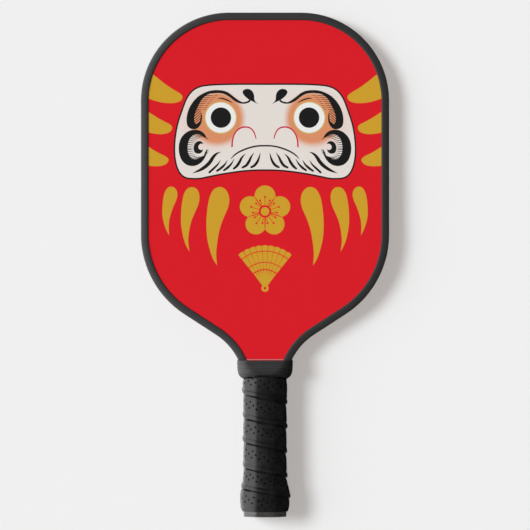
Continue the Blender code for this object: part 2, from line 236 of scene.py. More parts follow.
def wrap_material():
    """Matt polyurethane with a fine leather grain, greyer where it rubs; the dark inside its pores is painted shade, in
    a material of its own.
    """
    material, tree, shader = new_material("wrap_polyurethane", (0.009, 0.009, 0.0092), 0.27, 0.38)
    position = object_position(tree)
    grain = cell_height(tree, position, 0.55, "DISTANCE_TO_EDGE")
    fine = noise_height(tree, position, 0.22, 3.0)
    cloud = noise_height(tree, position, 7.0, 3.0)
    crease = noise_height(tree, position, 3.2, 5.0, (0.5, 1.6, 0.5))
    colour = mixed_colour(tree, ramp_value(tree, cloud, 0.35, 0.75, 0.0, 1.0), (0.0065, 0.0065, 0.0067), (0.013, 0.013, 0.0128))
    tree.links.new(colour, shader.inputs["Base Color"])
    tree.links.new(ramp_value(tree, cloud, 0.3, 0.7, 0.23, 0.31), shader.inputs["Roughness"])
    add_bump(tree, shader, [(crease, 0.35, 0.35), (grain, 0.3, 0.05), (fine, 0.15, 0.03)])
    return material


def pore_material():
    """Painted shade: a near-black, matt material for the inside of the wrap's pores and for the wrap's band just under
    the collar.
    """
    material, tree, shader = new_material("wrap_painted_shade", (0.001, 0.001, 0.001), 0.9, 0.0)
    fine = noise_height(tree, object_position(tree), 0.2, 2.0)
    tree.links.new(ramp_value(tree, fine, 0.3, 0.7, 0.85, 0.95), shader.inputs["Roughness"])
    add_bump(tree, shader, [(fine, 0.3, 0.03)])
    return material


def rubber_material():
    material, tree, shader = new_material("collar_rubber", (0.014, 0.014, 0.0142), 0.6, 0.75)
    position = object_position(tree)
    cloud = noise_height(tree, position, 6.0, 4.0)
    fine = noise_height(tree, position, 0.3, 2.0)
    dust = noise_height(tree, position, 0.9, 5.0)
    colour = mixed_colour(tree, ramp_value(tree, dust, 0.58, 0.75, 0.0, 0.5), (0.012, 0.012, 0.0122), (0.024, 0.024, 0.0235))
    tree.links.new(colour, shader.inputs["Base Color"])
    tree.links.new(ramp_value(tree, cloud, 0.3, 0.7, 0.56, 0.66), shader.inputs["Roughness"])
    add_bump(tree, shader, [(cloud, 0.1, 0.12), (fine, 0.3, 0.03)])
    return material


def cap_material():
    """Moulded plastic with a fine spark-eroded texture."""
    material, tree, shader = new_material("cap_plastic", (0.05, 0.047, 0.046), 0.3, 0.95)
    position = object_position(tree)
    spark = noise_height(tree, position, 0.4, 3.0)
    cloud = noise_height(tree, position, 5.0, 3.0)
    colour = mixed_colour(tree, cloud, (0.044, 0.041, 0.04), (0.06, 0.057, 0.056))
    tree.links.new(colour, shader.inputs["Base Color"])
    tree.links.new(ramp_value(tree, cloud, 0.3, 0.7, 0.24, 0.34), shader.inputs["Roughness"])
    add_bump(tree, shader, [(spark, 0.3, 0.04)])
    return material


def core_material():
    """Milky polypropylene film, the honeycomb's cell walls."""
    material, tree, shader = new_material("core_polypropylene", (0.62, 0.63, 0.6), 0.45, 0.5)
    position = object_position(tree)
    cloud = noise_height(tree, position, 4.0, 4.0)
    streak = noise_height(tree, position, 0.8, 3.0, (1.0, 1.0, 0.2))
    tree.links.new(mixed_colour(tree, cloud, (0.56, 0.57, 0.53), (0.7, 0.71, 0.69)), shader.inputs["Base Color"])
    tree.links.new(ramp_value(tree, streak, 0.3, 0.7, 0.38, 0.55), shader.inputs["Roughness"])
    add_bump(tree, shader, [(streak, 0.3, 0.08)])
    return material


def woven_material(name, dark, light, pitch, roughness, height):
    """Plain weave: two crossing sets of threads, each over and under."""
    material, tree, shader = new_material(name, light, roughness, 0.5)
    position = object_position(tree)
    sets = []
    for direction in ("X", "Y"):
        wave = add_node(tree, "ShaderNodeTexWave", {"Vector": position}, wave_type="BANDS", bands_direction=direction)
        wave.inputs["Scale"].default_value = 0.314 / (pitch * MM)
        wave.inputs["Distortion"].default_value = 0.4
        sets.append(wave.outputs["Fac"])
    weave = add_node(tree, "ShaderNodeMath", {0: sets[0], 1: sets[1]}, operation="MULTIPLY").outputs[0]
    tree.links.new(mixed_colour(tree, weave, dark, light), shader.inputs["Base Color"])
    tree.links.new(ramp_value(tree, weave, 0.0, 1.0, roughness + 0.1, roughness - 0.05), shader.inputs["Roughness"])
    add_bump(tree, shader, [(weave, 0.4, height)])
    return material


def foam_material():
    material, tree, shader = new_material("pallet_foam", (0.05, 0.05, 0.055), 0.85, 0.3)
    position = object_position(tree)
    cells = cell_height(tree, position, 0.7)
    tree.links.new(mixed_colour(tree, ramp_value(tree, cells, 0.1, 0.6, 0.0, 1.0), (0.025, 0.025, 0.028), (0.075, 0.075, 0.08)), shader.inputs["Base Color"])
    tree.links.new(ramp_value(tree, cells, 0.0, 0.7, 0.95, 0.78), shader.inputs["Roughness"])
    add_bump(tree, shader, [(cells, 0.5, 0.15)])
    return material


def steel_material():
    material, tree, shader = new_material("staple_steel", (0.55, 0.55, 0.56), 0.3, 0.5, 1.0)
    position = object_position(tree)
    streak = noise_height(tree, position, 0.5, 4.0, (0.3, 2.0, 2.0))
    tree.links.new(mixed_colour(tree, streak, (0.42, 0.42, 0.43), (0.66, 0.66, 0.67)), shader.inputs["Base Color"])
    tree.links.new(ramp_value(tree, streak, 0.3, 0.7, 0.22, 0.42), shader.inputs["Roughness"])
    add_bump(tree, shader, [(streak, 0.2, 0.03)])
    return material


# ---------------------------------------------------------------- lines and outlines


def smooth_line(points, steps=7):
    """A centripetal Catmull-Rom curve through the points of an open line. Points may carry extra values."""
    line = [Vector(p) for p in points]
    line = [2 * line[0] - line[1]] + line + [2 * line[-1] - line[-2]]
    result = []
    for p0, p1, p2, p3 in zip(line, line[1:], line[2:], line[3:]):
        knots = [0.0]
        for a, b in ((p0, p1), (p1, p2), (p2, p3)):
            gap = math.hypot(b[0] - a[0], b[1] - a[1]) ** 0.5
            knots.append(knots[-1] + max(gap, 1e-4))
        t0, t1, t2, t3 = knots
        for i in range(steps):
            t = t1 + (t2 - t1) * i / steps
            a1 = (t1 - t) / (t1 - t0) * p0 + (t - t0) / (t1 - t0) * p1
            a2 = (t2 - t) / (t2 - t1) * p1 + (t - t1) / (t2 - t1) * p2
            a3 = (t3 - t) / (t3 - t2) * p2 + (t - t2) / (t3 - t2) * p3
            b1 = (t2 - t) / (t2 - t0) * a1 + (t - t0) / (t2 - t0) * a2
            b2 = (t3 - t) / (t3 - t1) * a2 + (t - t1) / (t3 - t1) * a3
            result.append((t2 - t) / (t2 - t1) * b1 + (t - t1) / (t2 - t1) * b2)
    result.append(line[-2])
    return result


def smooth_loop(points, steps=7):
    """The same curve closed on itself, without a corner."""
    count = len(points)
    wrapped = [points[i % count] for i in range(-2, count + 3)]
    line = smooth_line(wrapped, steps)
    return line[2 * steps : (count + 2) * steps]


def cornered(*segments, steps=7):
    """A closed outline of smooth stretches that meet in corners."""
    outline = []
    for segment in segments:
        outline += smooth_line(segment, steps)[:-1]
    return outline


def along(line, share):
    """The point at a share of a line's length."""
    lengths = [(b - a).length for a, b in zip(line, line[1:])]
    left = share * sum(lengths)
    for start, end, length in zip(line, line[1:], lengths):
        if left <= length:
            return start.lerp(end, left / length)
        left -= length
    return line[-1].copy()


def between(table, y):
    """The value at y in a table of (y, value) rows, on straight lines between them."""
    if y <= table[0][0]:
        return table[0][1]
    for (y0, v0), (y1, v1) in zip(table, table[1:]):
        if y <= y1:
            return v0 + (v1 - v0) * (y - y0) / (y1 - y0)
    return table[-1][1]


def stroke(points, steps=6):
    """A brush stroke through (x, y, width) points, as a closed outline."""
    line = smooth_line(points, steps)
    left, right = [], []
    for i, point in enumerate(line):
        before, after = line[max(i - 1, 0)], line[min(i + 1, len(line) - 1)]
        run = Vector((after[0] - before[0], after[1] - before[1])).normalized()
        half = max(point[2], 0.02) / 2
        across = Vector((-run.y, run.x)) * half
        left.append(Vector(point[:2]) + across)
        right.append(Vector(point[:2]) - across)
    ends = []
    for i, tip in ((0, -1), (-1, 1)):
        run = Vector(line[-1][:2]) - Vector(line[-2][:2]) if i else Vector(line[1][:2]) - Vector(line[0][:2])
        ends.append(Vector(line[i][:2]) + tip * run.normalized() * max(line[i][2], 0.02) * 0.4)
    return [ends[0]] + left + [ends[1]] + right[::-1]


def oval(x, y, rx, ry=None, count=64):
    ry = ry or rx
    turn = 2 * math.pi / count
    return [Vector((x + rx * math.cos(turn * i), y + ry * math.sin(turn * i))) for i in range(count)]


def widened(outline, width):
    """A closed outline moved outwards by width, or inwards where it is negative."""
    area = sum(a[0] * b[1] - b[0] * a[1] for a, b in zip(outline, outline[1:] + outline[:1]))
    side = width if area > 0 else -width
    moved = []
    for i, point in enumerate(outline):
        run = Vector(outline[(i + 1) % len(outline)][:2]) - Vector(outline[i - 1][:2])
        run.normalize()
        moved.append(Vector(point[:2]) + side * Vector((run.y, -run.x)))
    return moved


def flipped(outline):
    return [Vector((-p[0], p[1])) for p in outline]


# ---------------------------------------------------------------- the paddle's outline

TOP_FLAT = 57.0
CORNER_RADIUS = 70.0
SHOULDER_RADIUS = 75.5
SHOULDER_CENTRE_Y = 224.0
SHOULDER_SWEEP = 57.0
THROAT_RUN = 30.0
THROAT_RADIUS = 50.0
GUARD_END = (GUARD_BOX[0][1] - BUTT_Y) / MM


def arc(centre, radius, start, end, steps):
    """Points and outward directions on a round stretch, angles in degrees from +x."""
    made = []
    for i in range(steps + 1):
        angle = math.radians(start + (end - start) * i / steps)
        ray = Vector((math.cos(angle), math.sin(angle)))
        made.append((Vector(centre) + radius * ray, ray))
    return made


def head_outline(inset, lowest=GUARD_END, detail=1.0):
    """The head from the left of the throat over the top to its right: (point, outward direction) pairs."""
    turn = math.radians(SHOULDER_SWEEP)
    away = Vector((math.cos(turn), -math.sin(turn)))
    run = Vector((-math.sin(turn), -math.cos(turn)))
    shoulder = Vector((HALF_WIDTH - SHOULDER_RADIUS, SHOULDER_CENTRE_Y))
    throat = shoulder + SHOULDER_RADIUS * away + THROAT_RUN * run + THROAT_RADIUS * away
    corner = (TOP_FLAT / 2, LENGTH - CORNER_RADIUS)
    hollow = THROAT_RADIUS + inset
    last = 180.0 - math.degrees(math.asin((lowest - throat.y) / hollow))
    right = arc(corner, CORNER_RADIUS - inset, 90.0, 0.0, round(44 * detail))
    side_top = right[-1][0].y
    side = round(26 * detail)
    right += [
        (Vector((HALF_WIDTH - inset, side_top + (SHOULDER_CENTRE_Y - side_top) * i / side)), Vector((1.0, 0.0)))
        for i in range(1, side)
    ]
    right += arc(shoulder, SHOULDER_RADIUS - inset, 0.0, -SHOULDER_SWEEP, round(36 * detail))
    start = right[-1][0]
    right += [(start + THROAT_RUN * run * i / 8, away) for i in range(1, 8)]
    right += [(point, -ray) for point, ray in arc(throat, hollow, 180.0 - SHOULDER_SWEEP, last, round(20 * detail))]
    left = [(Vector((-p.x, p.y)), Vector((-n.x, n.y))) for p, n in reversed(right)]
    top = round(14 * detail)
    flat = [
        (Vector((TOP_FLAT * (i / top - 0.5), LENGTH - inset)), Vector((0.0, 1.0))) for i in range(1, top)
    ]
    return left + flat + right


# ---------------------------------------------------------------- meshes


def finish_mesh(name, bm, materials, smooth=True, angle=40.0):
    """Makes the object of a bmesh, facing out and shaded smooth with sharp creases."""
    bmesh.ops.recalc_face_normals(bm, faces=bm.faces)
    if bm.calc_volume(signed=True) < 0:
        bmesh.ops.reverse_faces(bm, faces=bm.faces)
    mesh = bpy.data.meshes.new(name)
    bm.to_mesh(mesh)
    bm.free()
    for material in materials:
        mesh.materials.append(material)
    if smooth:
        mesh.shade_smooth()
        mesh.set_sharp_from_angle(angle=math.radians(angle))
    obj = bpy.data.objects.new(name, mesh)
    bpy.context.scene.collection.objects.link(obj)
    return obj


def stands_for(obj, node):
    """The piece stands in for the CAD node, which it hides, and rides on the paddle's one body."""
    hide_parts(node)
    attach(obj, "root")


def join_rings(bm, rings, closed=False):
    """Faces between rings of equally many vertices, and end caps unless the rings close on themselves."""
    pairs = list(zip(rings, rings[1:]))
    if closed:
        pairs.append((rings[-1], rings[0]))
    for near, far in pairs:
        for i in range(len(near)):
            j = (i + 1) % len(near)
            bm.faces.new((near[i], near[j], far[j], far[i]))
    if not closed:
        bm.faces.new(rings[0][::-1])
        bm.faces.new(rings[-1])


# ---------------------------------------------------------------- the print


def face_plate():
    """The white of the face: flat on top, round at the temples and cheeks, and lifted under the mouth."""
    right = [
        (0.0, 343.1),
        (23.5, 343.1),
        (36.8, 342.8),
        (44.7, 342.3),
        (50.9, 341.3),
        (55.7, 339.2),
        (59.2, 336.1),
        (61.6, 332.6),
        (63.1, 329.6),
        (66.1, 321.5),
        (68.3, 315.0),
        (70.1, 308.0),
        (71.4, 299.0),
        (71.8, 290.7),
        (71.2, 283.3),
        (69.6, 276.8),
        (66.7, 271.6),
        (62.7, 268.9),
        (57.0, 268.2),
        (51.3, 268.4),
        (45.3, 269.6),
        (35.4, 271.6),
        (25.5, 273.2),
        (15.6, 274.4),
        (7.5, 274.9),
    ]
    left = [(-x, y) for x, y in right[:0:-1]]
    return smooth_loop(right + [(0.0, 275.0)] + left, 5)


def brow():
    """The right eyebrow: thin at the brow, swelling round the temple and hooked back up below."""
    outer = [
        (11.8, 331.3),
        (13.8, 329.7),
        (15.6, 329.1),
        (17.8, 328.9),
        (19.8, 329.7),
        (22.6, 331.5),
        (25.7, 333.9),
        (28.8, 336.3),
        (32.3, 337.8),
        (36.8, 338.4),
        (41.2, 338.3),
        (44.7, 337.6),
        (48.2, 336.2),
        (51.9, 334.2),
        (55.6, 330.9),
        (58.8, 326.6),
        (60.9, 322.1),
        (62.0, 317.6),
        (62.2, 313.6),
        (61.4, 310.0),
        (59.0, 307.9),
        (55.3, 307.4),
        (52.5, 309.2),
        (50.7, 312.0),
        (50.0, 315.8),
        (50.2, 319.0),
        (50.9, 321.8),
    ]
    inner = [
        (50.9, 321.8),
        (51.0, 318.8),
        (51.2, 315.8),
        (52.0, 313.3),
        (53.4, 311.7),
        (54.7, 311.5),
        (55.7, 312.7),
        (56.2, 315.2),
        (55.9, 318.0),
        (55.0, 321.4),
        (53.4, 324.8),
        (51.6, 328.5),
        (49.6, 331.6),
        (46.8, 334.1),
        (43.9, 335.5),
        (40.7, 335.9),
        (37.6, 336.1),
        (34.1, 335.8),
        (31.0, 334.7),
        (27.9, 332.8),
        (24.4, 330.0),
        (21.8, 328.6),
        (19.1, 327.8),
        (16.5, 327.6),
        (13.8, 328.2),
        (11.6, 329.5),
        (11.8, 331.3),
    ]
    return cornered(outer, inner, steps=4)


def brow_curl():
    """The drop at the inner end of the eyebrow, with its flick towards the nose."""
    return cornered(
        [(5.4, 327.4), (7.6, 329.4), (8.5, 331.2), (8.6, 333.9), (9.6, 336.8), (11.6, 338.8), (14.3, 339.4)]
        + [(16.8, 338.6), (17.8, 336.9), (16.9, 334.7), (14.3, 332.1), (11.9, 330.4), (10.3, 329.7), (8.2, 328.7)]
        + [(5.4, 327.4)],
        steps=5,
    )


def brow_hairs():
    """Fine hairs that stand off the inside of the eyebrow towards the eye, and slanting ones inside its hook."""
    edge = ((321.4, 55.1), (324.8, 53.6), (328.5, 51.6), (331.6, 49.6), (334.1, 46.8), (335.5, 43.9))
    hairs = []
    for i in range(8):
        y = 322.7 + 1.6 * i
        root, reach = between(edge, y), 4.6 + 0.2 * i
        hairs.append(stroke([(root + 0.5, y, 0.45), (root - 0.5 * reach, y + 0.25, 0.45), (root - reach, y + 0.4, 0.2)], 3))
        gap = root - reach - 0.9
        hairs.append(stroke([(gap, y + 0.4, 0.15), (gap - 1.0, y + 0.45, 0.4), (gap - 0.45 * reach, y + 0.45, 0.15)], 2))
    for i in range(6):
        x, y = 56.8, 309.2 + 2.0 * i
        reach = min(5.7, 1.2 * (322.8 - y))
        hairs.append(stroke([(x, y, 0.62), (x - reach, y + 0.84 * reach, 0.5)], 1))
    return hairs


def cheek_inside():
    """The inner edge of the cheek's curl, from its lower tip round the back to its upper one."""
    return [
        (45.9, 292.2),
        (47.4, 289.1),
        (48.2, 287.0),
        (49.5, 285.3),
        (52.0, 284.0),
        (54.6, 283.5),
        (57.4, 284.0),
        (60.0, 286.5),
        (61.3, 290.6),
        (61.1, 295.6),
        (59.8, 299.6),
        (57.5, 302.2),
        (54.4, 303.5),
        (50.9, 303.2),
        (48.0, 301.6),
        (45.8, 299.2),
    ]


def cheek_band():
    """The broad whisker that curls round the cheek, open towards the nose."""
    outer = [
        (45.8, 299.2),
        (47.3, 302.6),
        (50.3, 305.6),
        (54.3, 306.9),
        (58.8, 306.6),
        (63.0, 304.4),
        (66.3, 300.8),
        (68.0, 296.3),
        (68.4, 291.1),
        (67.6, 286.4),
        (65.7, 282.3),
        (62.3, 279.3),
        (58.2, 278.2),
        (54.2, 278.8),
        (50.3, 281.3),
        (47.4, 285.3),
        (46.1, 289.1),
        (45.9, 292.2),
    ]
    return cornered(outer, cheek_inside(), steps=5)


def cheek_comma():
    """The small crescent in the middle of the cheek's curl."""
    return cornered(
        [(48.9, 295.8), (50.3, 297.5), (52.7, 298.0), (55.2, 296.6), (56.5, 293.9), (56.5, 290.9), (55.5, 288.8)]
        + [(53.4, 288.0), (51.1, 288.4), (49.7, 289.8), (49.3, 291.5)],
        [(49.3, 291.5), (50.8, 290.9), (52.3, 291.7), (52.9, 293.2), (52.3, 294.9), (50.9, 295.9), (49.0, 295.7)],
        steps=4,
    )


def cheek_hairs():
    """Fine hairs from the curl's inner edge that sweep towards the nose, past the crescent."""
    edge = smooth_line(cheek_inside(), 6)
    lean = ((0.0, 138.0), (0.22, 146.0), (0.38, 170.0), (0.5, 180.0), (0.62, 188.0), (0.8, 211.0), (1.0, 220.0))
    reach = ((0.0, 2.5), (0.12, 4.5), (0.3, 5.4), (0.42, 4.6), (0.55, 4.6), (0.7, 6.0), (0.88, 5.0), (1.0, 3.0))
    count = 25
    hairs = []
    for i in range(count):
        share = 0.07 + 0.86 * i / (count - 1)
        turn = math.radians(between(lean, share))
        ray = between(reach, share) * Vector((math.cos(turn), math.sin(turn)))
        root = along(edge, share)
        width = 0.85 if i == count // 2 else 0.52
        hairs.append(stroke([(*(root - 0.08 * ray), width), (*(root + 0.5 * ray), width), (*(root + ray), 0.2)], 2))
    return hairs


def nose_wing():
    """One wing of the nose, as (x, y, width) points."""
    points = [(26.2, 293.5, 1.3), (25.8, 298.2, 1.15), (24.5, 302.8, 1.05), (22.0, 306.5, 1.1), (19.1, 308.5, 1.2)]
    points += [(15.6, 309.2, 1.2), (12.1, 308.5, 1.15), (9.6, 306.4, 1.05), (7.9, 302.9, 0.95), (7.1, 299.9, 0.7)]
    return points


def moustache():
    """The strokes of one half of the moustache, from the corner of the mouth to the middle."""
    return [
        stroke([(34.9, 289.4, 0.1), (38.2, 288.1, 1.5), (41.0, 285.4, 2.4), (43.2, 282.0, 2.8), (46.0, 278.8, 2.8)]
               + [(50.0, 275.9, 2.4), (53.8, 274.0, 1.5), (57.6, 272.5, 0.1)]),
        stroke([(35.1, 283.0, 0.2), (37.7, 279.2, 1.3), (40.9, 276.1, 1.7), (44.3, 273.0, 1.6)]),
        stroke([(29.8, 283.0, 0.2), (31.9, 279.4, 1.4), (35.0, 276.5, 1.9), (38.3, 274.2, 1.5)]),
        stroke([(24.4, 284.0, 0.2), (26.6, 280.1, 1.3), (29.5, 277.0, 1.9), (32.8, 274.7, 1.5)]),
        stroke([(15.4, 288.0, 0.2), (18.3, 285.0, 1.5), (20.2, 281.4, 2.1), (22.3, 278.3, 2.1), (24.9, 276.0, 1.6)]),
        stroke([(8.8, 288.8, 0.2), (11.1, 285.2, 1.5), (12.7, 281.8, 2.1), (14.8, 278.8, 2.1), (18.1, 276.9, 1.6)]),
        stroke([(3.7, 288.8, 0.2), (4.8, 284.6, 1.4), (6.4, 281.0, 2.0), (8.6, 278.5, 2.0), (11.2, 277.1, 1.5)]),
    ]


def side_stripes():
    """The gold tongues that reach in from the panel's right edge; they run on under the edge guard."""
    return [
        cornered([(98.0, 357.0), (88.2, 350.4), (83.1, 346.3), (78.5, 342.8), (73.5, 339.4), (68.6, 336.5), (66.2, 334.6)]
                 + [(65.4, 332.6), (66.4, 330.5), (68.6, 329.1), (71.6, 328.3), (76.5, 328.1), (81.5, 328.6), (86.6, 329.8)]
                 + [(91.7, 331.5), (98.0, 334.2)]),
        cornered([(98.0, 324.4), (92.2, 321.0), (87.6, 318.0), (82.6, 315.0), (77.6, 312.4), (74.7, 310.7), (73.6, 308.6)]
                 + [(74.5, 306.2), (77.0, 304.5), (81.5, 303.5), (86.6, 303.7), (92.2, 304.8), (98.0, 306.6)]),
        cornered([(98.0, 296.9), (92.2, 293.4), (87.6, 290.4), (82.6, 287.7), (78.6, 285.7), (76.5, 283.3), (77.5, 280.8)]
                 + [(80.0, 279.0), (84.1, 278.1), (87.6, 278.0), (92.2, 278.5), (98.0, 279.8)]),
    ]


def beard_drops():
    """The three gold drops of the beard's right half: round heads and tails that curve to a point."""
    return [
        cornered([(76.1, 223.2), (76.4, 229.9), (75.8, 235.9), (74.4, 241.1), (72.5, 246.4), (70.2, 251.7), (69.5, 256.2)]
                 + [(71.0, 260.2), (74.1, 261.9), (77.2, 260.9), (79.4, 257.5), (80.8, 251.7), (81.4, 245.1), (81.4, 239.2)]
                 + [(80.3, 233.2), (78.4, 227.7), (76.1, 223.2)]),
        cornered([(59.9, 210.2), (60.9, 218.7), (60.2, 226.6), (58.6, 233.9), (55.9, 240.7), (53.1, 247.1), (52.0, 252.6)]
                 + [(52.6, 257.2), (54.4, 260.2), (57.6, 261.5), (61.2, 260.5), (63.9, 257.0), (65.8, 249.1), (66.6, 240.5)]
                 + [(66.5, 231.2), (65.2, 223.3), (63.2, 216.5), (59.9, 210.2)]),
        cornered([(38.1, 199.3), (38.7, 208.7), (37.7, 218.7), (35.8, 228.6), (32.8, 237.2), (29.6, 244.5), (28.4, 250.0)]
                 + [(28.9, 255.2), (31.4, 259.6), (35.4, 261.6), (40.1, 260.1), (43.4, 255.0), (45.3, 247.1), (46.3, 237.8)]
                 + [(46.5, 229.9), (45.8, 220.6), (44.0, 212.6), (41.4, 204.9), (38.1, 199.3)]),
    ]


def plum_blossom(x, y, reach):
    """(colour, outline) pairs of a five-petalled blossom."""
    shapes = []
    petal, out = 0.40 * reach, 0.60 * reach
    for i in range(5):
        angle = math.radians(90 + 72 * i)
        shapes.append(("gold", oval(x + out * math.cos(angle), y + out * math.sin(angle), petal, count=48)))
    for i in range(5):
        angle = math.radians(126 + 72 * i)
        near = Vector((x, y)) + 0.20 * reach * Vector((math.cos(angle), math.sin(angle)))
        far = Vector((x, y)) + 0.66 * reach * Vector((math.cos(angle), math.sin(angle)))
        shapes.append(("red", stroke([(*near, 0.9), (*near.lerp(far, 0.5), 0.9), (*far, 0.5)], 3)))
    shapes.append(("red", oval(x, y, 0.245 * reach, count=40)))
    shapes.append(("gold", oval(x, y, 0.165 * reach, count=36)))
    for i in range(15):
        angle = math.radians(90 + 24 * i)
        ray = Vector((math.cos(angle), math.sin(angle)))
        length = (0.56, 0.46, 0.46)[i % 3] * reach
        near, far = Vector((x, y)) + 0.27 * reach * ray, Vector((x, y)) + length * ray
        shapes.append(("red", stroke([(*near, 0.5), (*far, 0.45)], 2)))
        shapes.append(("red", oval(*far, 0.85, count=14)))
    return shapes


def folding_fan(x, y, reach, spread=39.0, folds=9):
    """(colour, outline) pairs of an open folding fan on its pivot."""

    def at(radius, angle):
        turn = math.radians(90.0 + angle)
        return Vector((x + radius * math.cos(turn), y + radius * math.sin(turn)))

    shapes = []
    for i in range(folds):
        low, high = (-spread + 2 * spread * (i + k) / folds for k in (0, 1))
        low, high = low + 0.35, high - 0.35
        middle = (low + high) / 2
        leaf = [at(0.44 * reach, low), at(0.985 * reach, low), at(1.0 * reach, middle), at(0.985 * reach, high)]
        leaf += [at(0.44 * reach, high), at(0.452 * reach, middle)]
        shapes.append(("gold", leaf))
        root, tip = at(0.0, middle), at(0.41 * reach, middle)
        shapes.append(("gold", stroke([(*root, 0.9), (*tip, 1.7)], 2)))
    for radius in (0.60, 0.86):
        arc_points = [(*at(radius * reach, -spread + 2 * spread * i / 12), 0.7) for i in range(13)]
        shapes.append(("red", stroke(arc_points, 2)))
    shapes.append(("gold", oval(x, y, 0.085 * reach, count=28)))
    shapes.append(("red", oval(x, y, 0.032 * reach, count=16)))
    return shapes


def panel_outline():
    """The film's outline: the head and the tang that runs down into the handle."""
    inset = HALF_WIDTH - FILM_BOX[1][0] / MM
    tang = 14.6
    head = [point for point, _ in head_outline(inset, GUARD_END - 0.3, 0.8)]
    low = (FILM_BOX[0][1] - BUTT_Y) / MM
    return head + [Vector((tang, head[-1].y)), Vector((tang, low)), Vector((-tang, low)), Vector((-tang, head[0].y))]


def print_shapes():
    """Everything printed on one face, in painting order, as (colour, outline) pairs."""
    shapes = [("red", panel_outline())]

    def both(colour, outline):
        shapes.extend([(colour, outline), (colour, flipped(outline))])

    shapes.append(("margin", [Vector(p) for p in ((-23, 124.3), (23, 124.3), (23, 124.95), (-23, 124.95))]))
    for outline in side_stripes() + beard_drops():
        both("gold", outline)
    shapes.extend(plum_blossom(0.0, 242.2, 20.6))
    shapes.extend(folding_fan(0.0, 181.3, 34.2))
    plate = face_plate()
    shapes.append(("black", widened(plate, 0.66)))
    shapes.append(("face", widened(plate, -0.58)))
    for hair in brow_hairs() + cheek_hairs():
        both("black", hair)
    both("rim", oval(*EYE, 12.9, count=72))
    both("white", oval(*EYE, 12.05, count=72))
    both("black", oval(EYE[0] - 0.2, EYE[1], 8.1, count=56))
    both("black", stroke([(37.2, 331.9, 0.5), (34.5, 331.9, 1.0), (31.5, 331.1, 1.1), (28.4, 329.8, 0.9), (25.4, 328.1, 0.15)]))
    for outline in (brow(), brow_curl(), cheek_band(), cheek_comma()):
        both("black", outline)
    both("plain", smooth_line([p[:2] for p in nose_wing()]))
    both("crimson", stroke(nose_wing()))
    half_lip = [(27.2, 283.7), (25.0, 286.2), (21.5, 288.8), (16.6, 291.2), (10.6, 293.2), (5.7, 294.1)]
    widths = (0.35, 0.95, 1.2, 1.25, 1.25, 1.25)
    lip = [(-x, y, w) for (x, y), w in zip(half_lip, widths)] + [(0.0, 294.3, 1.25)]
    lip += [(x, y, w) for (x, y), w in reversed(list(zip(half_lip, widths)))]
    shapes.append(("black", stroke(lip)))
    for outline in moustache():
        both("black", outline)
    return shapes


def inside(points, outline):
    """Which of the points lie inside the outline, by winding number."""
    wind = np.zeros(len(points), dtype=int)
    x, y = points[:, 0], points[:, 1]
    for (ax, ay), (bx, by) in zip(outline, np.roll(outline, -1, axis=0)):
        left = (bx - ax) * (y - ay) - (x - ax) * (by - ay)
        wind += ((ay <= y) & (by > y) & (left > 0)).astype(int)
        wind -= ((ay > y) & (by <= y) & (left < 0)).astype(int)
    return wind != 0


def cut_plane(outlines):
    """Divides the plane along all outlines: (vertices, triangles) inside the first one."""
    points, faces = [], []
    for outline in outlines:
        faces.append(list(range(len(points), len(points) + len(outline))))
        points += [Vector((p[0], p[1])) for p in outline]
    edges = [(face[i - 1], face[i]) for face in faces for i in range(len(face))]
    made = delaunay_2d_cdt(points, edges, [], 0, 1e-4)
    vertices, triangles = made[0], made[2]
    centres = np.array([[sum(vertices[i][k] for i in tri) / 3 for k in (0, 1)] for tri in triangles])
    kept = inside(centres, np.array([p[:2] for p in outlines[0]]))
    triangles = [tri for tri, keep in zip(triangles, kept) if keep]
    return vertices, triangles, centres[kept]


def plate_mesh(name, vertices, triangles, colours, materials, top, depth, turned):
    """A closed sheet: coloured triangles on its outer side, plain walls and underside."""
    bm = bmesh.new()
    side = -1 if turned else 1
    made = [bm.verts.new(place(side * v[0], v[1], side * top)) for v in vertices]
    for tri, colour in zip(triangles, colours):
        face = bm.faces.new([made[i] for i in tri])
        face.material_index = int(colour)
    bmesh.ops.delete(bm, geom=[v for v in bm.verts if not v.link_faces], context="VERTS")
    rim = [edge for edge in bm.edges if len(edge.link_faces) == 1]
    grown = bmesh.ops.extrude_edge_only(bm, edges=rim)["geom"]
    for item in grown:
        if isinstance(item, bmesh.types.BMVert):
            item.co.z -= side * depth * MM
        elif isinstance(item, bmesh.types.BMFace):
            item.material_index = 0
    low = [item for item in grown if isinstance(item, bmesh.types.BMEdge) and len(item.link_faces) == 1]
    for face in bmesh.ops.contextual_create(bm, geom=low)["faces"]:
        face.material_index = 0
    return finish_mesh(name, bm, materials, smooth=False)


def build_print():
    shapes = print_shapes()
    vertices, triangles, centres = cut_plane([outline for _, outline in shapes])
    colours = np.zeros(len(triangles), dtype=int)
    for colour, outline in shapes:
        corners = np.array([p[:2] for p in outline])
        near = np.all((centres >= corners.min(axis=0)) & (centres <= corners.max(axis=0)), axis=1)
        hit = np.flatnonzero(near)
        colours[hit[inside(centres[hit], corners)]] = PRINT_ORDER.index(colour)
    materials = list(PRINT.values())
    for side in ("front", "back"):
        film = plate_mesh(
            f"printed_face_{side}", vertices, triangles, colours, materials, FILM_TOP, FILM_DEPTH, side == "back"
        )
        stands_for(film, f"print_film_{side}")


# ---------------------------------------------------------------- core


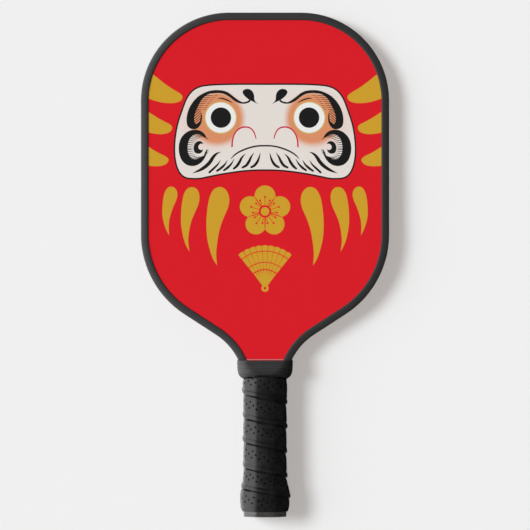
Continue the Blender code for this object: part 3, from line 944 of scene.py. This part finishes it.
def build_core():
    """The honeycomb: an open grid of six-sided cells between the face sheets, down through the tang."""
    outline = panel_outline()
    cell, wall = 8.0, 0.55
    holes = []
    for row in range(-1, 60):
        for column in range(-14, 15):
            x = cell * (column + 0.5 * (row % 2))
            y = 6.0 + cell * math.sqrt(0.75) * row
            radius = (cell - wall) / math.sqrt(3)
            ring = [(x + radius * math.sin(math.pi / 3 * k), y + radius * math.cos(math.pi / 3 * k)) for k in range(6)]
            wide = np.array([(x + (px - x) * 1.18, y + (py - y) * 1.18) for px, py in ring])
            if inside(wide, np.array([p[:2] for p in outline])).all():
                holes.append([Vector(p) for p in ring])
    vertices, triangles, centres = cut_plane([outline] + holes)
    solid = np.ones(len(triangles), dtype=bool)
    for ring in holes:
        corners = np.array([p[:2] for p in ring])
        hit = np.flatnonzero(np.all((centres >= corners.min(axis=0)) & (centres <= corners.max(axis=0)), axis=1))
        solid[hit[inside(centres[hit], corners)]] = False
    bm = bmesh.new()
    top = [bm.verts.new(place(v[0], v[1], CORE_HALF_DEPTH)) for v in vertices]
    low = [bm.verts.new(place(v[0], v[1], -CORE_HALF_DEPTH)) for v in vertices]
    for tri, keep in zip(triangles, solid):
        if keep:
            bm.faces.new([top[i] for i in tri])
            bm.faces.new([low[i] for i in reversed(tri)])
    index = {vertex: i for i, vertex in enumerate(top)}
    for edge in [e for e in bm.edges if len(e.link_faces) == 1 and e.verts[0] in index]:
        a, b = (index[v] for v in edge.verts)
        bm.faces.new((top[a], top[b], low[b], low[a]))
    bmesh.ops.delete(bm, geom=[v for v in bm.verts if not v.link_faces], context="VERTS")
    core = finish_mesh("honeycomb", bm, [core_material()], smooth=False)
    stands_for(core, "honeycomb_core")


# ---------------------------------------------------------------- edge guard


def guard_section():
    """The guard's U section: (inwards from the outline, z). Crowned lips with a soft inner edge."""
    under = FILM_TOP + 0.3
    crest = 5.1
    upper = []
    for i in range(17):
        angle = math.pi / 2 * i / 16
        upper.append((crest * (1 - math.cos(angle)), 4.9 + (GUARD_HALF_DEPTH - 4.9) * math.sin(angle)))
    upper[0:0] = [(0.05, 2.4), (0.0, 3.8)]
    upper += [(5.4, 7.92), (5.76, 7.71), (6.02, 7.42), (6.16, 7.12), (6.1, under), (4.0, under), (1.6, under)]
    return upper + [(u, -z) for u, z in reversed(upper)]


def build_guard():
    section = guard_section()
    path = head_outline(0.0, GUARD_END, 1.6)
    bm = bmesh.new()
    rings = [[bm.verts.new(place(*(p - n * u), z)) for u, z in section] for p, n in path]
    join_rings(bm, rings)
    guard = finish_mesh("guard_strip", bm, [guard_material()], angle=50.0)
    stands_for(guard, "edge_guard")


# ---------------------------------------------------------------- handle

OCTAGON_HALF_WIDTH, OCTAGON_HALF_DEPTH = 12.9, 10.8
FRONT_FLAT, SIDE_FLAT = 6.3, 5.6
REFERENCE_GROWTH = 4.3


def octagon_quarter():
    """The stretches of a quarter turn from +x to +z: (length, start corner, end corner, start, end angle)."""
    side, front = Vector((OCTAGON_HALF_WIDTH, SIDE_FLAT)), Vector((FRONT_FLAT, OCTAGON_HALF_DEPTH))
    slant = math.atan2(OCTAGON_HALF_WIDTH - FRONT_FLAT, OCTAGON_HALF_DEPTH - SIDE_FLAT)
    middle, top = Vector((OCTAGON_HALF_WIDTH, 0.0)), Vector((0.0, OCTAGON_HALF_DEPTH))
    return [
        (SIDE_FLAT, middle, side, 0.0, 0.0),
        (REFERENCE_GROWTH * slant, side, side, 0.0, slant),
        ((side - front).length, side, front, slant, slant),
        (REFERENCE_GROWTH * (math.pi / 2 - slant), front, front, slant, math.pi / 2),
        (FRONT_FLAT, front, top, math.pi / 2, math.pi / 2),
    ]


QUARTER = octagon_quarter()
QUARTER_LENGTH = sum(piece[0] for piece in QUARTER)


def around(turn):
    """(corner, outward direction) in the x-z plane at a share of a turn round the handle from +x over +z."""
    quarter, share = divmod((turn % 1.0) * 4, 1)
    if quarter % 2:
        share = 1 - share
    left = min(share, 0.999999) * QUARTER_LENGTH
    for length, start, end, low, high in QUARTER:
        if left <= length:
            break
        left -= length
    part = min(1.0, left / length)
    corner = start.lerp(end, part)
    angle = low + (high - low) * part
    ray = Vector((math.cos(angle), math.sin(angle)))
    if quarter in (1, 2):
        corner, ray = Vector((-corner.x, corner.y)), Vector((-ray.x, ray.y))
    if quarter in (2, 3):
        corner, ray = Vector((corner.x, -corner.y)), Vector((ray.x, -ray.y))
    return corner, ray


def on_handle(turn, y, growth, softness=0.0):
    """A point on the handle; softness rounds the octagon's flats towards an ellipse."""
    corner, ray = around(turn)
    point = corner + ray * growth
    wide, deep = OCTAGON_HALF_WIDTH + growth, OCTAGON_HALF_DEPTH + growth
    angle = math.atan2(point.y / deep, point.x / wide)
    point = point.lerp(Vector((wide * math.cos(angle), deep * math.sin(angle))), softness)
    return place(point.x, y, point.y)


COLLAR_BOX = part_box("grip_collar")
COLLAR_START = (COLLAR_BOX[0][1] - BUTT_Y) / MM
COLLAR_END = (COLLAR_BOX[1][1] - BUTT_Y) / MM
COLLAR_ARCH = 3.0  # how much higher the collar's lower edge is on the flats than at the sides

WRAP_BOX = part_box("grip_wrap")
WRAP_START = (WRAP_BOX[0][1] - BUTT_Y) / MM
WRAP_END = (WRAP_BOX[1][1] - BUTT_Y) / MM
WRAP_COLUMNS = 184
# Heights on the front's middle line at which one turn of the wrap ends over the next
WRAP_SEAMS = (-37.0, -18.0, 0.9, 19.7, 35.9, 56.1, 75.3, 94.4, 113.2, 132.0, 151.0)
WRAP_PITCH = 18.8
# The outer face before seams and pores: (height, growth)
WRAP_BODY = (
    (4.2, 5.0),
    (4.5, 5.45),
    (5.1, 5.7),
    (7.0, 6.0),
    (9.8, 6.3),
    (13.0, 6.5),
    (17.0, 6.55),
    (19.5, 6.3),
    (22.5, 5.5),
    (25.7, 4.75),
    (29.0, 4.2),
    (34.0, 3.9),
    (90.0, 3.9),
    (95.0, 4.1),
    (100.0, 4.45),
    (107.6, 4.45),
    (109.0, 4.05),
    (110.6, 3.3),
    (120.0, 3.3),
)
# One turn of the strip from its lower edge up: (height above the seam, how far it stands out, pore row)
WRAP_PROFILE = [
    (0.35, -1.45, None),
    (0.05, -0.9, None),
    (-0.3, -0.2, None),
    (-0.3, 0.35, None),
    (-0.05, 0.8, None),
    (0.4, 1.08, None),
    (1.0, 1.2, None),
    (1.6, 1.16, None),
    (2.2, 0.94, None),
    (2.7, 0.6, None),
    (3.05, 0.2, None),
    (3.3, -0.1, None),
    (3.55, -0.16, None),
    (3.85, 0.02, None),
    (4.3, 0.3, None),
    (5.3, 0.5, None),
    (6.1, 0.52, None),
    (6.9, 0.5, None),
    (7.4, 0.48, None),
    (7.9, 0.46, None),
    (8.5, 0.44, 10),
    (9.1, 0.42, None),
    (9.7, 0.4, None),
    (10.35, 0.38, None),
    (10.95, 0.36, 5),
    (11.55, 0.34, None),
    (12.15, 0.32, None),
    (12.8, 0.29, None),
    (13.4, 0.26, 0),
    (14.0, 0.22, None),
    (14.6, 0.17, None),
    (15.2, 0.11, None),
    (15.8, 0.02, None),
    (16.4, -0.1, None),
    (16.9, -0.26, None),
    (17.3, -0.62, None),
    (17.7, -1.0, None),
    (18.15, -1.3, None),
    (18.6, -1.45, None),
]
PORE_SPACING = 12  # columns
PORE_RADIUS, PORE_DEPTH = 0.7, 1.0
WRAP_SOFTNESS = 0.4


def seam_height(turn):
    """The seam's height on the handle at a number of turns; the list holds the front's middle line."""
    place_in_list = min(max(turn + 1.75, 0.0), len(WRAP_SEAMS) - 1.001)
    i = int(place_in_list)
    last = len(WRAP_SEAMS) - 1
    p = [WRAP_SEAMS[min(max(i + k, 0), last)] for k in (-1, 0, 1, 2)]
    t = place_in_list - i
    slopes = (p[2] - p[0]) / 2, (p[3] - p[1]) / 2
    return (
        (2 * t**3 - 3 * t**2 + 1) * p[1]
        + (t**3 - 2 * t**2 + t) * slopes[0]
        + (-2 * t**3 + 3 * t**2) * p[2]
        + (t**3 - t**2) * slopes[1]
    )


def collar_edge(turn):
    """The height of the collar's lower edge, which arches up over the flats."""
    return COLLAR_START + COLLAR_ARCH * around(turn)[1].y ** 2


def build_wrap():
    """The strip wound up the handle: each turn's lower edge lies over the last, and pores run down its middle."""
    rows, columns, turns = len(WRAP_PROFILE), WRAP_COLUMNS, len(WRAP_SEAMS) - 3
    bm = bmesh.new()
    grid = []
    for turn in range(turns):
        for rise, stand, _ in WRAP_PROFILE:
            line = []
            for column in range(columns):
                wound = turn + column / columns
                seam = seam_height(wound)
                stretch = (seam_height(wound + 1) - seam) / WRAP_PITCH
                along = wound * 7.0
                strain = 1.0 + 0.35 * noise.noise(Vector((along, 3.7, 0.0)))
                creep = 0.35 * noise.noise(Vector((along * 1.1, 9.1, rise / 30.0)))
                sag = 0.14 * noise.noise(Vector((along * 1.7, 5.0, rise / 2.5)))
                y = seam + rise * stretch + creep
                fade = min(1.0, max(0.0, (108.5 - y) / 2.0))
                thin = 0.65 if y < 22 else 0.85
                fade *= min(1.0, max(0.0, (y - 5.0) / 4.0))
                fold = 0.8 * max(0.0, 1 - abs(y - 7.0) / 0.7) * max(0.0, 1 - (abs(column / columns - 0.24) / 0.11) ** 4)
                arch = collar_edge(column / columns) - COLLAR_START
                growth = between(WRAP_BODY, y - 0.3 * arch) + (stand * strain * thin + sag) * fade - fold
                line.append(bm.verts.new(on_handle(column / columns, y, growth, WRAP_SOFTNESS)))
            grid.append(line)
    pores = []
    for row in range(len(grid) - 1):
        turn, step = divmod(row, rows)
        for column in range(columns - 1):
            corners = grid[row + 1][column], grid[row + 1][column + 1], grid[row][column + 1], grid[row][column]
            # Faces within 1.2 mm below the collar's lower edge take the second material: painted shade standing in for
            # the collar's shadow on the wrap.
            tucked = place(0, collar_edge(column / columns) - 1.2, 0).y
            bm.faces.new(corners).material_index = int(grid[row][column].co.y > tucked)
        if row + rows + 1 < len(grid):
            far = grid[row + rows], grid[row + rows + 1]
            bm.faces.new((grid[row + 1][-1], far[1][0], far[0][0], grid[row][-1]))
        shift = WRAP_PROFILE[step][2]
        if shift is None:
            continue
        for column in range(2, columns - 2):
            if (column + columns * turn + shift) % PORE_SPACING == 0:
                pores.append((row, column))
    pore_faces = []
    for row, column in pores:
        middle = grid[row][column].co
        for dr, dc in ((-1, -1), (-1, 0), (-1, 1), (0, -1), (0, 1), (1, -1), (1, 0), (1, 1)):
            vertex = grid[row + dr][column + dc]
            vertex.co = middle + (vertex.co - middle).normalized() * PORE_RADIUS * MM
        pore_faces += list(grid[row][column].link_faces)
    # The pores' walls and floors take the second material: painted shade for the dark inside the holes.
    for face in bmesh.ops.inset_region(bm, faces=pore_faces, thickness=0.08 * MM, depth=-PORE_DEPTH * MM)["faces"]:
        face.material_index = 1
    for face in pore_faces:
        face.material_index = 1
    for height, side in ((WRAP_START, -1), (WRAP_END, 1)):
        geometry = bm.verts[:] + bm.edges[:] + bm.faces[:]
        bmesh.ops.bisect_plane(
            bm, geom=geometry, plane_co=place(0, height, 0), plane_no=(0, side, 0), clear_outer=True
        )
    close_wrap(bm)
    wrap = finish_mesh("wound_grip", bm, [wrap_material(), pore_material()], angle=50.0)
    stands_for(wrap, "grip_wrap")


def boundary_loops(bm):
    """The open edges of a mesh, as one list for each loop."""
    left = {edge for edge in bm.edges if len(edge.link_faces) == 1}
    loops = []
    while left:
        edge = left.pop()
        loop, todo = [edge], list(edge.verts)
        while todo:
            for near in todo.pop().link_edges:
                if near in left:
                    left.remove(near)
                    loop.append(near)
                    todo += list(near.verts)
        loops.append(loop)
    return loops


def close_wrap(bm):
    """Adds the bore, over cap and pallets, between the sleeve's two open ends."""
    loops = sorted(boundary_loops(bm), key=lambda loop: loop[0].verts[0].co.y)
    low, high = loops[0], loops[-1]
    bore = ((WRAP_START, 4.1), (6.5, 4.4), (9.8, 4.75), (14.0, 5.1), (18.0, 5.0), (22.5, 3.95), (26.3, 3.4))
    bore += ((26.6, 2.3), (WRAP_END, 2.3))
    rings = []
    for y, growth in bore:
        ring = [bm.verts.new(on_handle(i / 64, y, growth)) for i in range(64)]
        rings.append(ring)
    for near, far in zip(rings, rings[1:]):
        for i in range(64):
            j = (i + 1) % 64
            bm.faces.new((near[i], near[j], far[j], far[i]))
    for ring, loop in ((rings[0], low), (rings[-1], high)):
        edges = [bm.edges.get((ring[i], ring[(i + 1) % 64])) for i in range(64)]
        bmesh.ops.bridge_loops(bm, edges=edges + loop)


# ---------------------------------------------------------------- cap


def build_cap():
    """The butt cap: rounded rim with a fine groove, a flared skirt under the wrap and a ringed end face."""
    count = 96
    outside = ((0.0, 3.2), (0.1, 3.62), (0.38, 3.95), (0.8, 4.1), (1.2, 4.02), (1.45, 3.72), (1.7, 3.5), (2.2, 3.5))
    outside += ((2.45, 3.72), (2.75, 4.05), (3.2, 4.1), (3.7, 4.0), (3.95, 3.7), (5.0, 3.85), (6.5, 4.1), (9.8, 4.45))
    outside += ((14.0, 4.8), (18.0, 4.7), (22.5, 3.65), (26.0, 3.1))
    pocket = ((26.0, 2.3), (2.4, 2.3))
    bm = bmesh.new()

    def ring(y, growth, scale=1.0):
        made = []
        for i in range(count):
            corner, ray = around(i / count)
            point = (corner + ray * growth) * scale
            made.append(bm.verts.new(place(point.x, y, point.y)))
        return made

    end_face = [ring(0.0, 2.0, scale) for scale in (0.30, 0.84)]
    groove = [ring(0.0, 2.0, 0.86), ring(0.45, 2.0, 0.88), ring(0.45, 2.0, 0.95), ring(0.0, 2.0, 0.97)]
    rings = end_face + groove + [ring(y, growth) for y, growth in outside + pocket]
    join_rings(bm, rings)
    cap = finish_mesh("cap_shell", bm, [cap_material()], angle=35.0)
    cutters = []
    for name in ("cap_staple_front", "cap_staple_back"):
        low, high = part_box(name)
        sign = 1 if low[2] > MIDDLE_Z else -1
        crown = high[2] if sign > 0 else low[2]
        x, y = high[0], (low[1] + high[1]) / 2
        cutters.append(((-x, x), y, (crown - sign * 1.0 * MM, crown + sign * 3.0 * MM)))
        for side in (-1, 1):
            leg = side * (x - 0.35 * MM)
            cutters.append(((leg - 0.65 * MM, leg + 0.65 * MM), y, (crown - sign * 7.0 * MM, crown + sign * 3.0 * MM)))
    for number, ((x0, x1), y, (z0, z1)) in enumerate(cutters):
        block = bmesh.new()
        bmesh.ops.create_cube(block, size=1.0)
        for vertex in block.verts:
            vertex.co.x = (x0 + x1) / 2 + vertex.co.x * (x1 - x0)
            vertex.co.y = y + vertex.co.y * 1.3 * MM
            vertex.co.z = (z0 + z1) / 2 + vertex.co.z * abs(z1 - z0)
        cutter = finish_mesh(f"cutter_{number}", block, [], smooth=False)
        carve(cap, cutter)
    stands_for(cap, "butt_cap")


def carve(obj, cutter):
    """Takes the cutter's volume out of the object's mesh, and removes the cutter."""
    modifier = obj.modifiers.new("carve", "BOOLEAN")
    modifier.operation = "DIFFERENCE"
    modifier.solver = "EXACT"
    modifier.object = cutter
    bpy.context.view_layer.update()
    graph = bpy.context.evaluated_depsgraph_get()
    carved = bpy.data.meshes.new_from_object(obj.evaluated_get(graph))
    obj.modifiers.clear()
    obj.data = carved
    bpy.data.objects.remove(cutter, do_unlink=True)


# ---------------------------------------------------------------- collar


def rounded_box_point(turn, half_width, half_depth, radius):
    """(x, z) and the outward direction on a box with round corners, at a share of a turn from +x over +z."""
    quarter, share = divmod((turn % 1.0) * 4, 1)
    if quarter % 2:
        share = 1 - share
    flat_x, flat_z = half_width - radius, half_depth - radius
    bend = radius * math.pi / 2
    left = share * (flat_x + flat_z + bend)
    if left <= flat_z:
        point, angle = Vector((half_width, left)), 0.0
    elif left <= flat_z + bend:
        angle = (left - flat_z) / radius
        point = Vector((flat_x + radius * math.cos(angle), flat_z + radius * math.sin(angle)))
    else:
        point, angle = Vector((flat_x - (left - flat_z - bend), half_depth)), math.pi / 2
    ray = Vector((math.cos(angle), math.sin(angle)))
    sx = -1 if quarter in (1, 2) else 1
    sz = -1 if quarter in (2, 3) else 1
    return Vector((sx * point.x, sz * point.y)), Vector((sx * ray.x, sz * ray.y))


COLLAR_BODY = (  # (height, half width, half depth, corner radius) of the collar's plain shape
    (109.3, 17.3, 15.45, 14.5),
    (109.6, 17.9, 15.85, 14.5),
    (110.2, 18.8, 16.3, 14.5),
    (111.4, 20.2, 16.7, 14.5),
    (113.0, 21.1, 16.85, 14.5),
    (114.6, 21.65, 16.9, 14.2),
    (116.5, 21.95, 16.8, 13.0),
    (118.5, 22.1, 16.65, 11.0),
    (120.0, 22.15, 16.45, 9.6),
    (122.0, 22.15, 16.1, 8.8),
    (123.2, 22.1, 15.85, 8.5),
    (123.75, 21.95, 15.6, 8.3),
    (124.05, 21.8, 15.3, 8.1),
    (124.1, 21.65, 14.9, 8.0),
)
COLLAR_RIBS = (112.4, 122.0, 2.4, 0.3)  # first and last height, pitch, depth


def build_collar():
    """The rubber collar: a flat band above, ribs on its rounder lower half, and a bore for grip and throat."""
    count = 160
    low, high, pitch, depth = COLLAR_RIBS
    steps = 56
    heights = {row[0] for row in COLLAR_BODY} | {low + (high - low) * i / steps for i in range(steps + 1)}
    bm = bmesh.new()
    rings = []
    for y in sorted(heights):
        size = [between([(row[0], row[k]) for row in COLLAR_BODY], y) for k in (1, 2, 3)]
        wave = 0.5 - 0.5 * math.cos(2 * math.pi * (y - low) / pitch)
        rib = -depth * (1 - wave**0.6) if low < y < high else 0.0
        ring = []
        for i in range(count):
            point, ray = rounded_box_point(i / count, *size)
            lift = COLLAR_ARCH * ray.y**2 * max(0.0, 1 - (y - COLLAR_START) / 7.0)
            point = point + rib * ray
            ring.append(bm.verts.new(place(point.x, y + lift, point.y)))
        rings.append(ring)
    for y, half_width in ((124.1, 21.5), (122.0, 20.6), (120.0, 19.9), (118.0, 19.3), (116.7, 19.0)):
        ring = []
        for i in range(count):
            point, _ = rounded_box_point(i / count, half_width, GUARD_HALF_DEPTH + 0.3, 2.8)
            ring.append(bm.verts.new(place(point.x, y, point.y)))
        rings.append(ring)
    for y, lift in ((116.2, 0.0), (109.3, COLLAR_ARCH)):
        ring = []
        for i in range(count):
            corner, ray = around(i / count)
            height = y + lift * ray.y**2
            ring.append(bm.verts.new(place(corner.x + 4.15 * ray.x, height, corner.y + 4.15 * ray.y)))
        rings.append(ring)
    join_rings(bm, rings, closed=True)
    collar = finish_mesh("throat_collar", bm, [rubber_material()], angle=38.0)
    stands_for(collar, "grip_collar")


# ---------------------------------------------------------------- carried-over pieces


def dress_cad():
    finishes = {
        "face_sheet_front": woven_material("glass_fibre", (0.09, 0.1, 0.09), (0.22, 0.23, 0.21), 1.6, 0.3, 0.08),
        "handle_pallet_front": foam_material(),
        "cap_staple_front": steel_material(),
        "finishing_tape": woven_material("tape_cloth", (0.0015, 0.0015, 0.0015), (0.004, 0.004, 0.004), 0.7, 0.9, 0.05),
    }
    finishes["face_sheet_back"] = finishes["face_sheet_front"]
    finishes["handle_pallet_back"] = finishes["handle_pallet_front"]
    finishes["cap_staple_back"] = finishes["cap_staple_front"]
    for name, material in finishes.items():
        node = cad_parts[name]
        for slot in node.material_slots:
            slot.material = material


# ---------------------------------------------------------------- floor, light and camera


def build_stage():
    """A pale floor under the paddle, touching its collar and falling away a little towards the butt."""
    foot, top = place(0, 115.0, -17.1), place(0, LENGTH, -12.0)
    slope = math.atan2(top.z - foot.z, top.y - foot.y)
    bpy.ops.mesh.primitive_plane_add(size=9.0, location=foot, rotation=(slope, 0.0, 0.0))
    floor = bpy.context.object
    floor.name = "floor"
    material, tree, shader = new_material("floor_paint", (0.86, 0.86, 0.86), 0.9, 0.0)
    floor.data.materials.append(material)
    floor.visible_glossy = False


def add_sun(name, direction, strength, spread, colour):
    sun = bpy.data.lights.new(name, "SUN")
    sun.energy, sun.angle, sun.color = strength, math.radians(spread), colour
    lamp = bpy.data.objects.new(name, sun)
    lamp.rotation_euler = Vector(direction).to_track_quat("Z", "Y").to_euler()
    lamp.visible_glossy = False
    bpy.context.scene.collection.objects.link(lamp)


def build_light():
    """A soft key from the left with a fainter, lower one, a fill from above, and a glow that only gloss picks up."""
    add_sun("key", (-0.59, 0.165, 0.785), KEY, 21.0, (0.96, 1.005, 1.04))
    add_sun("low_key", (-0.78, 0.15, 0.6), LOW_KEY, 38.0, (0.96, 1.005, 1.04))
    add_sun("fill", (0.0, 0.0, 1.0), FILL, 3.0, (1.05, 0.992, 0.95))
    world = bpy.data.worlds.new("studio")
    bpy.context.scene.world = world
    world.use_nodes = True
    tree = world.node_tree
    background = tree.nodes["Background"]
    direction = add_node(tree, "ShaderNodeTexCoord").outputs["Generated"]
    across = add_node(tree, "ShaderNodeSeparateXYZ", {"Vector": direction}).outputs["X"]
    turned = add_node(tree, "ShaderNodeVectorMath", {0: direction}, operation="DOT_PRODUCT")
    turned.inputs[1].default_value = GLOW_SIDE
    rays = add_node(tree, "ShaderNodeLightPath")
    room = ramp_value(tree, across, -1.0, 1.0, *ROOM)
    glow = ramp_value(tree, turned.outputs["Value"], *GLOW)
    glow.node.interpolation_type = "SMOOTHSTEP"
    level = mixed_colour(tree, rays.outputs["Is Glossy Ray"], room, glow)
    colour = mixed_colour(tree, rays.outputs["Is Camera Ray"], level, (0.87, 0.87, 0.87))
    tree.links.new(colour, background.inputs["Color"])


KEY, LOW_KEY, FILL = 1.59, 0.46, 1.34
ROOM = (0.16, 0.05)
GLOW_SIDE = (0.993, -0.115, 0.0)
GLOW = (-1.0, 0.08, 2.85, 0.01)


def build_camera():
    """Straight above the paddle, with the head at the top of the picture."""
    view_width = 421.2 * MM
    camera = bpy.data.cameras.new("camera")
    camera.lens, camera.sensor_width = 300.0, 36.0
    above = view_width * camera.lens / camera.sensor_width
    obj = bpy.data.objects.new("camera", camera)
    obj.location = place(0.0, 199.7, above / MM)
    bpy.context.scene.collection.objects.link(obj)
    bpy.context.scene.camera = obj
    bpy.context.scene.view_settings.view_transform = "Standard"


build_camera()
build_light()
build_print()
build_core()
build_guard()
build_wrap()
build_cap()
build_collar()
dress_cad()
build_stage()
